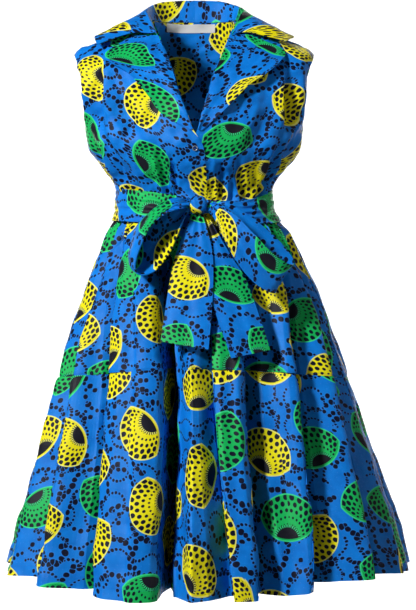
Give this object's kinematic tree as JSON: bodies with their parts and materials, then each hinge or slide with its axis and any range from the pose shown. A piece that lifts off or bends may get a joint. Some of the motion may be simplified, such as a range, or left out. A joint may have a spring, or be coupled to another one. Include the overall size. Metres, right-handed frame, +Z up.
{
  "type": "sleeveless wax print dress",
  "caption": "Hollow worn-form sleeveless dress with notched lapel collar, lapped front, tied sash with bow and a full pleated two-tier skirt.",
  "frame": {"origin": "midway between the neck points of the two shoulder seams, at the shoulder seams' plane, where the wearer's shoulders hold the dress up", "axes": "+Z up along the body, -Y out of the front, +X at the viewer's right"},
  "size_m": [0.7829, 0.6896, 1.0992],
  "materials": {
    "wax_print": "printed plain-weave cotton, soft sheen",
    "label_tape": "woven tape, satin",
    "button": "polished"
  },
  "bodies": {
    "root": {"bodice_front_left": "wax_print", "bodice_front_right": "wax_print", "bodice_back": "wax_print", "collar": "wax_print", "lapel_left": "wax_print", "lapel_right": "wax_print", "neck_label": "label_tape", "button": "button", "belt_front": "wax_print", "belt_back": "wax_print", "knot": "wax_print", "bow_loop_left": "wax_print", "bow_loop_right": "wax_print", "tail_left": "wax_print", "tail_right": "wax_print", "skirt_upper_front": "wax_print", "skirt_upper_back": "wax_print", "skirt_lower_front": "wax_print", "skirt_lower_back": "wax_print"}
  },
  "joints": []
}
